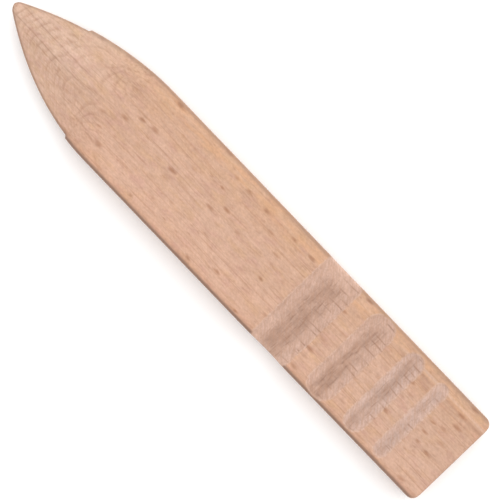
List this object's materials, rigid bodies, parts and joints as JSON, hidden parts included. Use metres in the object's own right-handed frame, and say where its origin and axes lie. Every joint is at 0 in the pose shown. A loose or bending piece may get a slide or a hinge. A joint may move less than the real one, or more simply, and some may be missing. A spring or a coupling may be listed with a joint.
{
  "type": "wooden slicker and folder",
  "caption": "Flat beech hand slicker with a bevelled spear point for creasing and folding, a square end, and graded round-bottomed grooves for smoothing edges.",
  "frame": {"origin": "under the middle of the tool, on the surface that it lies on", "axes": "+X along the tool towards the pointed tip, +Z out of the grooved face"},
  "size_m": [0.15, 0.0264, 0.009],
  "materials": {
    "beech": "unfinished, finely sanded"
  },
  "bodies": {
    "root": {"slicker_body": "beech"}
  },
  "joints": []
}
